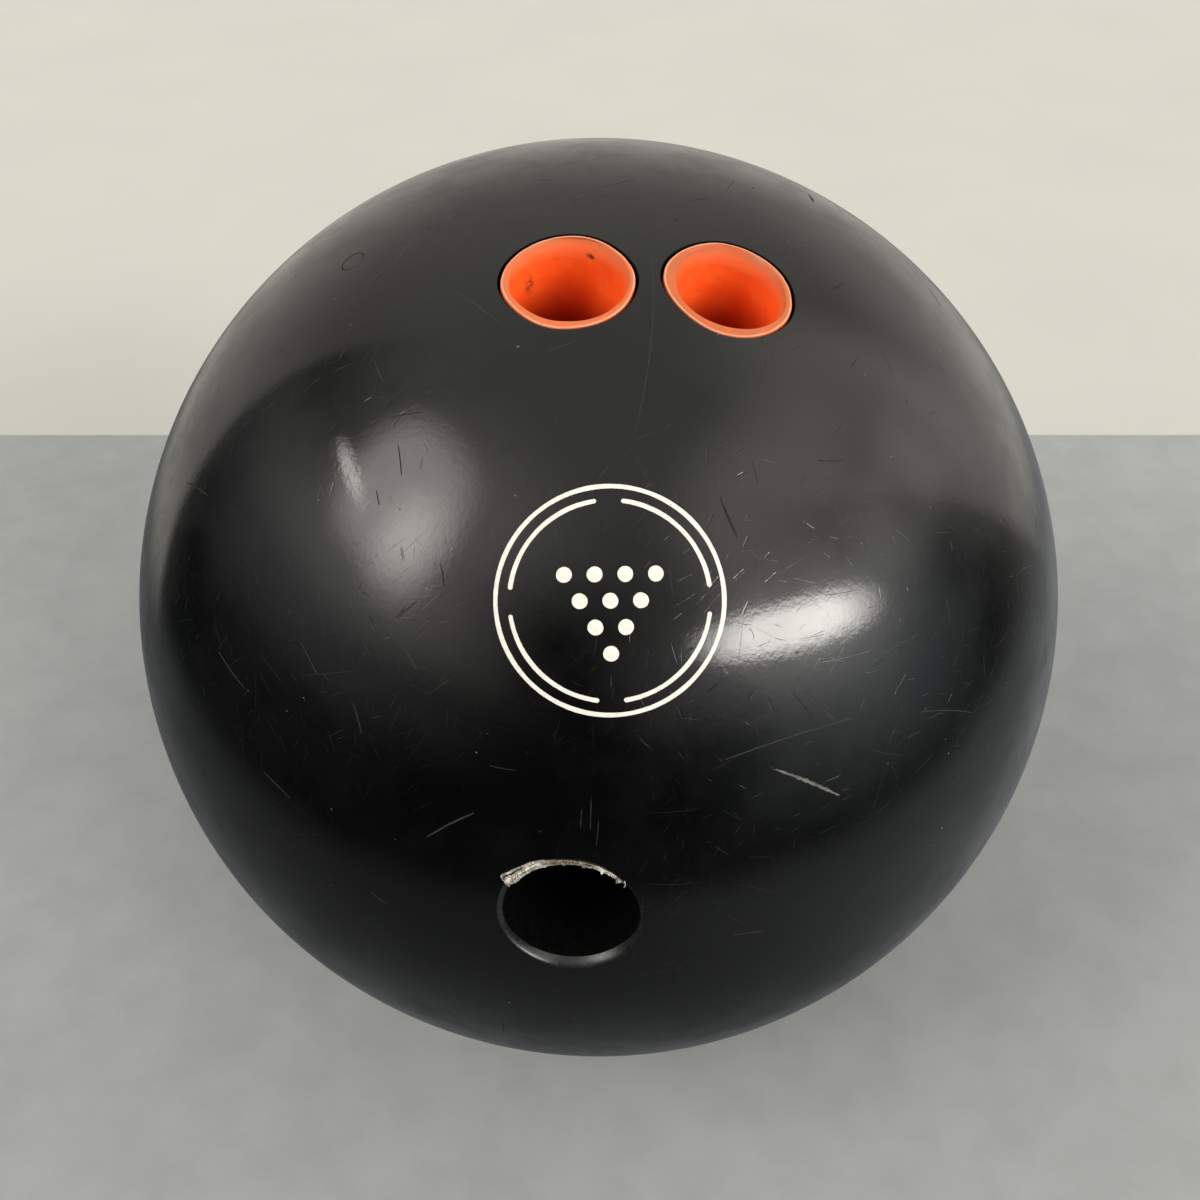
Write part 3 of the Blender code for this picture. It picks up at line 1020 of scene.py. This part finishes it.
def gray(value, tint):
    return tuple(value * part for part in tint)


def cover_material():
    """Black polished urethane: a clear gloss over haze, with fine scratches, nicks and dust specks."""
    g = Graph("cover_polished_black")
    p = g.point()
    lines = 0.0
    for scale, length, width, share, seed in HAIRLINES:
        lines = g.math('MAXIMUM', lines, g.scratches(p, scale, length * MM, width * MM, share, seed))
    lines = g.times(lines, g.fade(g.noise(p, 16.0, 2.0), 0.38, 0.62, 0.2, 1.0))
    specks = g.specks(p, 260.0, 0.05, 0.18)
    dust = g.fade(g.noise(p, 26.0, 4.0, 0.6), 0.45, 0.8)
    grain = g.noise(p, 900.0, 3.0, 0.6)
    marked = g.math('MAXIMUM', g.times(lines, 0.15), g.times(specks, 0.7))
    color = g.mix(dust, gray(0.0010, COOL), gray(0.0022, COOL))
    color = g.mix(marked, color, gray(0.13, WARM))
    nicks = g.scratches(p, 190.0, 3.4 * MM, 0.20 * MM, 0.42, 3.3)
    nicks = g.math('MAXIMUM', nicks, g.specks(p, 210.0, 0.09, 0.16))
    nicks = g.times(nicks, g.fade(g.noise(p, 34.0, 2.0), 0.42, 0.58))
    haze = g.fade(g.noise(p, 60.0, 4.0, 0.65), 0.35, 0.65, 0.20, 0.42)
    rough = g.plus(haze, g.times(lines, 0.2))
    grooves = g.plus(g.times(lines, -0.8), g.times(nicks, -2.4))
    height = g.plus(g.times(grain, 0.90), grooves)
    waves = g.bump(g.noise(p, 50.0, 1.0), 0.05 * MM)
    normal = g.bump(height, 0.016 * MM, 1.0, waves)
    g.set(Base_Color=color, Roughness=rough, Normal=normal, Coat_Normal=normal)
    g.set(Specular_IOR_Level=0.10, Coat_Weight=0.65, Coat_Roughness=0.07, Coat_IOR=1.5)
    return g.material


def plain_material(name, dark, light, roughness, grain_scale, bump, tint, specular):
    """A matte surface whose colour and roughness vary with a fine grain."""
    g = Graph(name)
    p = g.point()
    grain = g.noise(p, grain_scale, 5.0, 0.65)
    patch = g.noise(p, 0.12 * grain_scale, 3.0)
    amount = g.fade(g.plus(g.times(grain, 0.6), g.times(patch, 0.4)), 0.35, 0.65)
    g.set(Base_Color=g.mix(amount, gray(dark, tint), gray(light, tint)))
    g.set(Roughness=g.fade(grain, 0.3, 0.7, roughness - 0.08, roughness + 0.08))
    g.set(Normal=g.bump(grain, bump * MM), Specular_IOR_Level=specular)
    return g.material


def insert_material(name, marks, fray, lip_color):
    """Orange rubber: saturated inside, paler and dusty where fingers wear the lip, with a few smudges.
    Deeper in the bore it is painted darker as shade, and the rim's rounded top is painted lighter as a
    highlight.
    """
    g = Graph(name)
    p = g.point()
    dust = g.add("Attribute", attribute_name="dust").outputs["Fac"]
    grain = g.noise(p, 1500.0, 4.0, 0.6)
    patch = g.noise(p, 260.0, 3.0, 0.6)
    worn = g.times(g.fade(dust, 0.0, 1.0), g.fade(patch, 0.25, 0.7, 0.80, 1.0))
    # Painted highlight: a lighter, mottled line along the rim's rounded top, where the dust attribute is
    # over 1.
    edge = g.times(g.fade(dust, 1.05, 1.5), g.fade(patch, 0.30, 0.6, 0.5, 1.0))
    color = g.mix(g.fade(patch, 0.3, 0.75), (0.90, 0.105, 0.0125), (0.96, 0.145, 0.022))
    # Painted shade: the rubber turns dark red from 7 mm to 24 mm down the bore, where less light reaches.
    height = g.add("SeparateXYZ", {0: p}).outputs["Z"]
    deep = g.fade(height, -24.0 * MM, -7.0 * MM, 1.0, 0.0)
    color = g.mix(g.times(deep, 0.9), color, (0.30, 0.012, 0.0015))
    color = g.mix(worn, color, lip_color)
    color = g.mix(edge, color, (0.58, 0.27, 0.17))
    if fray:
        place, reach = fray
        near = g.times(near_point(g, p, place, reach), g.fade(patch, 0.30, 0.6))
        near = g.times(near, g.fade(dust, 0.5, 1.0))
        color = g.mix(near, color, (0.44, 0.165, 0.095))
    for place, reach, strength in marks:
        ragged = g.fade(g.noise(p, 900.0, 3.0, 0.7), 0.36, 0.60)
        smudge = g.times(near_point(g, p, place, reach), ragged)
        color = g.mix(g.times(smudge, strength), color, (0.085, 0.022, 0.012))
    pores = g.plus(grain, g.times(patch, 0.8))
    g.set(Base_Color=color, Roughness=g.fade(worn, 0.0, 1.0, 0.46, 0.72))
    g.set(Normal=g.bump(pores, 0.03 * MM, 0.8), Specular_IOR_Level=0.35)
    g.set(Subsurface_Weight=0.12, Subsurface_Scale=0.002, Subsurface_Radius=(1.0, 0.25, 0.1))
    return g.material


def near_point(g, p, place, reach):
    """1 at a point of the piece, fading to 0 at the given reach along each axis."""
    scaled = g.vector_math('DIVIDE', g.vector_math('SUBTRACT', p, place), reach)
    return g.fade(g.vector_math('LENGTH', scaled), 0.25, 1.0, 1.0, 0.0)


def tape_material():
    """Off-white cloth tape with a fine weave, brown with dirt in the middle of its worn edge."""
    g = Graph("tape_cloth")
    p = g.point()
    dirt = g.fade(g.noise(p, 900.0, 4.0, 0.7), 0.38, 0.62)
    thread = g.noise(g.turned(p, (0.0, 0.0, 1.0), 5.0), 3200.0, 2.0)
    soiled = near_point(g, p, (-2.2 * MM, 13.2 * MM, 0.0), (7.0 * MM, 4.0 * MM, 4.0 * MM))
    color = g.mix(dirt, (0.54, 0.515, 0.46), (0.13, 0.112, 0.085))
    color = g.mix(g.times(soiled, g.fade(thread, 0.35, 0.65, 0.6, 1.0)), color, (0.125, 0.100, 0.074))
    height = g.plus(thread, g.times(dirt, 1.5))
    g.set(Base_Color=color, Roughness=g.fade(thread, 0.3, 0.7, 0.7, 0.9))
    g.set(Normal=g.bump(height, 0.06 * MM), Specular_IOR_Level=0.3)
    return g.material


def paint_material():
    """Cream-white paint with faint wear and a few dark chips."""
    g = Graph("emblem_paint_white")
    p = g.point()
    wear = g.noise(p, 900.0, 4.0, 0.65)
    chips = g.fade(g.noise(p, 520.0, 3.0, 0.8), 0.70, 0.76)
    color = g.mix(g.fade(wear, 0.3, 0.7), (0.66, 0.648, 0.59), (0.54, 0.528, 0.48))
    color = g.mix(chips, color, (0.16, 0.155, 0.14))
    g.set(Base_Color=color, Roughness=g.fade(wear, 0.3, 0.7, 0.35, 0.55))
    g.set(Normal=g.bump(g.math('SUBTRACT', wear, chips), 0.02 * MM))
    return g.material


# Name, darkest and lightest grey, roughness, scale of the grain, height of its bump in millimetres, tint
# and specular level of each plain material.
PLAIN_MATERIALS = {
    "bore": ("cover_bore", 0.0008, 0.0015, 0.6, 900.0, 0.03, COOL, 0.08),
    "light_mark": ("cover_scuffed", 0.045, 0.14, 0.75, 2500.0, 0.03, WARM, 0.3),
    "faint_mark": ("cover_hairline", 0.008, 0.024, 0.7, 2500.0, 0.01, WARM, 0.3),
    "dark_mark": ("cover_gouged", 0.004, 0.012, 0.7, 2500.0, 0.02, COOL, 0.25),
    "bevel": ("cover_sanded", 0.005, 0.014, 0.28, 1800.0, 0.02, NEUTRAL, 0.42),
    "pin": ("pin_resin", 0.004, 0.007, 0.22, 700.0, 0.004, COOL, 0.5),
    "core": ("core_filler", 0.01, 0.02, 0.85, 500.0, 0.10, NEUTRAL, 0.1),
    "block": ("weight_block_resin", 0.10, 0.16, 0.7, 400.0, 0.08, (1.0, 0.35, 0.22), 0.5),
    "mat": ("stage_mat", 0.258, 0.296, 0.9, 60.0, 0.2, PALE_BLUE, 0.5),
    "floor": ("stage_floor", 0.435, 0.455, 0.9, 9.0, 0.2, PALE_WARM, 0.5),
}


def make_materials():
    left_marks = (
        ((7.5 * MM, -6.3 * MM, -9.0 * MM), (1.5 * MM, 1.5 * MM, 3.2 * MM), 0.75),
        ((-3.4 * MM, -9.0 * MM, -2.9 * MM), (1.5 * MM, 0.9 * MM, 0.8 * MM), 1.0),
    )
    fray = ((-7.0 * MM, -8.6 * MM, 0.0), (6.5 * MM, 4.0 * MM, 6.0 * MM))
    materials = {name: plain_material(*values) for name, values in PLAIN_MATERIALS.items()}
    materials["cover"] = cover_material()
    materials["insert_left"] = insert_material("insert_rubber_left", left_marks, None, (0.49, 0.127, 0.043))
    materials["insert_right"] = insert_material("insert_rubber_right", (), fray, (0.405, 0.104, 0.036))
    materials["tape"] = tape_material()
    materials["paint"] = paint_material()
    return materials


# ---- Stage, light and camera ----


def add_stage(materials):
    """A pale floor, with a plain pale grey mat on it under the ball. Neither shows in the ball's gloss:
    the light's lower half stands for them there, dimmed as if by the people and furniture around."""
    turn = Matrix.Rotation(math.radians(CAMERA_AZIMUTH), 4, 'Z')
    lift = Vector((0.0, 0.0, FLOOR_HEIGHT))
    drop = Vector((0.0, 0.0, FLOOR_DROP))
    mat = slab("stage_mat", MAT_BOX, Matrix.Translation(lift) @ turn, materials["mat"])
    floor = slab("stage_floor", FLOOR_BOX, Matrix.Translation(lift - drop) @ turn, materials["floor"])
    mat.visible_glossy = False
    floor.visible_glossy = False


def slab(name, box, place, material):
    (x0, y0), (x1, y1), thickness = box
    outline_points = ((x0, y0), (x1, y0), (x1, y1), (x0, y1))
    loops = [[Vector((x, y, z)) for x, y in outline_points] for z in (-thickness, 0.0)]
    return add_object(name, loft(loops), place, [material])


# Soft lights far from the ball, as seen from it: azimuth (0 is the front, 90 the right) and elevation,
# half width, half height, tilt, softness of the edge, colour and brightness.
SOFT_LIGHTS = {
    "right_window": ((60.0, 37.0), (23.5, 24.0), 0.0, 0.38, WARM, 1.20),
    "right_door": ((108.0, 33.0), (13.0, 27.0), 0.0, 0.50, WARM, 0.68),
    "right_sill": ((90.0, 22.0), (13.0, 9.0), 0.0, 0.60, WARM, 0.75),
    "right_strip": ((46.8, 22.6), (18.0, 4.6), -15.0, 0.46, WARM, 20.0),
    "right_haze": ((45.0, 19.0), (23.0, 10.5), -10.0, 1.0, NEUTRAL, 1.2),
    "right_glow": ((60.0, 3.0), (21.0, 15.0), 0.0, 1.0, COOL, 0.7),
    "right_wall": ((126.0, 1.0), (18.0, 22.0), 0.0, 0.8, WARM, 0.25),
    "left_softbox": ((-71.5, 43.0), (14.0, 13.5), 8.0, 0.40, WARM, 4.1),
    "left_core": ((-59.0, 36.5), (6.5, 8.5), 0.0, 0.90, WARM, 5.0),
    "left_streak": ((-88.0, 35.5), (6.5, 1.4), 0.0, 0.50, WARM, 7.8),
    "left_halo": ((-48.0, 44.0), (16.0, 16.0), 0.0, 1.0, WARM, 1.0),
    "left_skirt": ((-67.0, 27.5), (27.0, 8.0), 0.0, 1.0, WARM, 0.80),
    "left_glow": ((-74.0, 18.0), (28.0, 13.0), 0.0, 1.0, NEUTRAL, 0.5),
}
LIGHT_GAIN = 1.2
LIGHT_SQUARENESS = 2.5
DARK_FRONT = 0.02
WALL_LEFT = (-121.0, 0.0)
WALL_RIGHT = ((107.0, 0.0), (119.0, -16.0))
WALL_SOFTNESS = (-0.02, 0.05)
CEILING_EDGE = (0.45, 0.90)
WALL_COLOR = (0.475, 0.458, 0.41)
CEILING_COLOR = (0.75, 0.735, 0.675)
GROUND_TILT = Vector((-0.05, -0.123, 1.0))
GROUND_EDGE = (-0.33, -0.52)
GROUND_LEFT = 0.115
GROUND_RIGHT = 0.255
GROUND_UNDER = 0.11
GROUND_SIDES = (-0.3, 0.8)
UNDER_EDGE = (-0.98, -0.65)
BACKGROUND = (0.54, 0.52, 0.48)


def sky_direction(azimuth, elevation):
    a, e = math.radians(azimuth), math.radians(elevation)
    return Vector((math.sin(a) * math.cos(e), -math.cos(a) * math.cos(e), math.sin(e)))


class Sky(Graph):
    """The same node helpers on the world's tree."""

    def __init__(self):
        world = bpy.data.worlds.new("studio")
        bpy.context.scene.world = world
        world.use_nodes = True
        self.tree = world.node_tree
        self.background = self.tree.nodes["Background"]

    def dot(self, vector, other):
        return self.vector_math('DOT_PRODUCT', vector, other)


def add_light():
    """A plain bright room with a dark front, as a world of soft lights. The camera sees a plain wall."""
    sky = Sky()
    ray = sky.add("TexCoord").outputs["Generated"]
    left_side = sky_direction(WALL_LEFT[0] - 90.0, 0.0)
    right_side = sky_direction(*WALL_RIGHT[0]).cross(sky_direction(*WALL_RIGHT[1])).normalized()
    sides = [sky.fade(sky.dot(ray, side), *WALL_SOFTNESS) for side in (left_side, right_side)]
    wall = sky.times(*sides)
    total = sky.mix(wall, gray(DARK_FRONT, COOL), WALL_COLOR)
    ceiling = sky.fade(sky.dot(ray, (0.0, 0.0, 1.0)), *CEILING_EDGE)
    total = sky.mix(ceiling, total, CEILING_COLOR)
    for *shape, color, strength in SOFT_LIGHTS.values():
        share = soft_light(sky, ray, *shape)
        total = sky.vector_math('MULTIPLY_ADD', share, gray(strength, color), total)
    total = add_ground(sky, ray, total)
    seen = sky.add("LightPath").outputs["Is Camera Ray"]
    sky.give(sky.background.inputs["Color"], sky.mix(seen, total, BACKGROUND))
    sky.background.inputs["Strength"].default_value = LIGHT_GAIN


def soft_light(sky, ray, at, size, tilt, softness):
    """1 where a ray meets a soft light, fading to 0 around it. The light is a box with rounded corners."""
    centre = sky_direction(*at)
    level = sky_direction(at[0] + 90.0, 0.0)
    upright = level.cross(centre) * -1.0
    turn = math.radians(tilt)
    across = level * math.cos(turn) + upright * math.sin(turn)
    up = upright * math.cos(turn) - level * math.sin(turn)
    sides = []
    for axis, half in ((across, size[0]), (up, size[1])):
        offset = sky.math('DIVIDE', sky.dot(ray, axis), math.sin(math.radians(half)))
        sides.append(sky.math('POWER', sky.math('ABSOLUTE', offset), LIGHT_SQUARENESS))
    away = sky.math('POWER', sky.plus(*sides), 1.0 / LIGHT_SQUARENESS)
    spot = sky.fade(away, 1.0 - softness, 1.0 + softness, 1.0, 0.0)
    facing = sky.math('GREATER_THAN', sky.dot(ray, centre), 0.0)
    return sky.times(spot, facing)


def add_ground(sky, ray, total):
    """The floor as the ball's gloss shows it: brighter on the right and darker close under the ball."""
    below = sky.fade(sky.dot(ray, GROUND_TILT), *GROUND_EDGE)
    side = sky.fade(sky.dot(ray, (1.0, 0.0, 0.0)), *GROUND_SIDES)
    color = sky.mix(side, gray(GROUND_LEFT, PALE_BLUE), gray(GROUND_RIGHT, PALE_BLUE))
    under = sky.fade(sky.dot(ray, (0.0, 0.0, 1.0)), *UNDER_EDGE)
    color = sky.mix(under, gray(GROUND_UNDER, PALE_BLUE), color)
    return sky.mix(below, total, color)


def add_camera():
    data = bpy.data.cameras.new("camera")
    data.lens = CAMERA_LENS
    data.clip_start = 0.01
    camera = bpy.data.objects.new("camera", data)
    back = sky_direction(CAMERA_AZIMUTH, CAMERA_ELEVATION)
    camera.rotation_mode = 'QUATERNION'
    camera.rotation_quaternion = (-back).to_track_quat('-Z', 'Y')
    camera.location = CAMERA_PLACE
    bpy.context.scene.collection.objects.link(camera)
    bpy.context.scene.camera = camera
    bpy.context.scene.view_settings.view_transform = 'Standard'


main()
